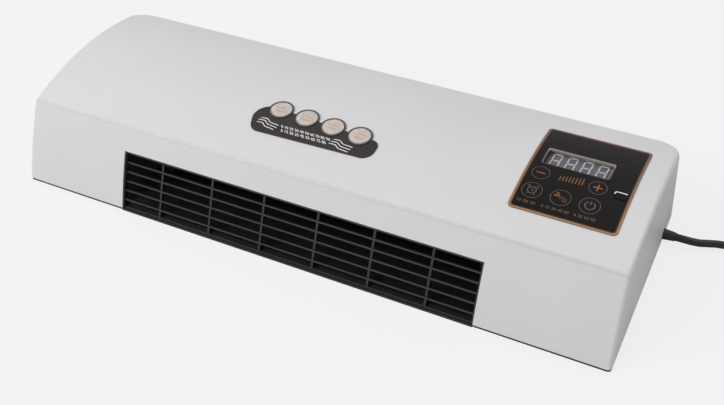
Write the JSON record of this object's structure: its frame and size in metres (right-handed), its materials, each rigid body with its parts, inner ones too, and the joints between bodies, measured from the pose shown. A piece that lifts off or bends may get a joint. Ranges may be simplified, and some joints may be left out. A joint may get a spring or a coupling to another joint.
{
  "type": "wall-mounted fan heater",
  "caption": "Long white crowned wall heater with a leaning air outlet grille, a black touch-key panel with a display, a dark badge with round discs, and a black supply cord",
  "frame": {"origin": "middle of the footprint of the body, on the wall face of the back plate, with the heater lying on its back", "axes": "+X along the body towards the end with the control panel, +Y away from the air outlet towards the intake (up when hung), +Z away from the wall"},
  "size_m": [0.736, 0.2546, 0.0807],
  "materials": {
    "cover_white": "satin white moulded plastic",
    "black_plastic": "matte black moulded plastic",
    "grille_grey": "dark grey moulded plastic",
    "panel_black": "satin black film",
    "window_grey": "smoked window",
    "lens_black": "polished dark lens",
    "badge_brown": "metallic dark lacquer",
    "disc_silver": "spun silver",
    "component_dark": "moulded component",
    "board_green": "green lacquered board",
    "board_brown": "phenolic board",
    "relay_blue": "blue moulded case",
    "capacitor_yellow": "yellow moulded case",
    "terminal_green": "green moulded block",
    "wire_sheath": "soft insulation",
    "sheet_metal": "galvanised sheet",
    "bright_steel": "turned steel",
    "bronze": "sintered bronze",
    "laminations": "stacked steel laminations",
    "copper_winding": "enamelled copper winding",
    "aluminium_fins": "plain aluminium",
    "ceramic": "fired ceramic",
    "cord_black": "matte black sheath",
    "plug_metal": "nickel-plated brass"
  },
  "bodies": {
    "heater": {"front_cover": "cover_white", "back_plate": "black_plastic", "bearing_holder": "black_plastic", "cord_clamp": "black_plastic", "cord_tie": "black_plastic", "outlet_grille": "grille_grey", "intake_grille": "grille_grey", "panel_overlay": "panel_black", "display_window": "window_grey", "ir_lens": "lens_black", "ir_receiver": "lens_black", "badge_plate": "badge_brown", "badge_discs": "disc_silver", "led_display": "component_dark", "tact_switches": "component_dark", "buzzer": "component_dark", "thermostat": "component_dark", "control_board": "board_green", "power_board": "board_brown", "relays": "relay_blue", "film_capacitor": "capacitor_yellow", "terminal_block": "terminal_green", "ribbon_cable": "wire_sheath", "motor_leads": "wire_sheath", "heater_leads": "wire_sheath", "duct_floor": "sheet_metal", "duct_ceiling": "sheet_metal", "duct_end_left": "sheet_metal", "duct_end_right": "sheet_metal", "motor_bracket": "sheet_metal", "motor_screws": "bright_steel", "cover_screws": "bright_steel", "board_screws": "bright_steel", "power_board_screws": "bright_steel", "cord_clamp_screws": "bright_steel", "bearing_bush": "bronze", "motor_stator": "laminations", "motor_coil": "copper_winding", "heater_tubes": "aluminium_fins", "heater_fins": "aluminium_fins", "heater_holders": "ceramic", "thermal_fuse": "ceramic", "supply_lead": "cord_black", "strain_relief": "cord_black", "cord_run": "cord_black", "cord_coil": "cord_black", "plug_body": "cord_black", "plug_pins": "plug_metal"},
    "fan": {"fan_rotor": "black_plastic", "fan_hub": "black_plastic", "fan_shaft": "bright_steel", "motor_armature": "laminations"},
    "key_minus": {"key_minus": "panel_black"},
    "key_plus": {"key_plus": "panel_black"},
    "key_timer": {"key_timer": "panel_black"},
    "key_mode": {"key_mode": "panel_black"},
    "key_power": {"key_power": "panel_black"}
  },
  "joints": [
    {"name": "fan_spin", "type": "hinge", "parent": "heater", "child": "fan", "pos_m": [0, 0.039, 0.035], "axis": [1, 0, 0], "continuous": true},
    {"name": "key_minus_press", "type": "slide", "parent": "heater", "child": "key_minus", "axis": [0, 0, -1], "range_m": [0, 0.0005], "stiffness_N_per_m": 400, "springref_m": -0.0002},
    {"name": "key_plus_press", "type": "slide", "parent": "heater", "child": "key_plus", "axis": [0, 0, -1], "range_m": [0, 0.0005], "stiffness_N_per_m": 400, "springref_m": -0.0002},
    {"name": "key_timer_press", "type": "slide", "parent": "heater", "child": "key_timer", "axis": [0, 0, -1], "range_m": [0, 0.0005], "stiffness_N_per_m": 400, "springref_m": -0.0002},
    {"name": "key_mode_press", "type": "slide", "parent": "heater", "child": "key_mode", "axis": [0, 0, -1], "range_m": [0, 0.0005], "stiffness_N_per_m": 400, "springref_m": -0.0002},
    {"name": "key_power_press", "type": "slide", "parent": "heater", "child": "key_power", "axis": [0, 0, -1], "range_m": [0, 0.0005], "stiffness_N_per_m": 400, "springref_m": -0.0002}
  ]
}
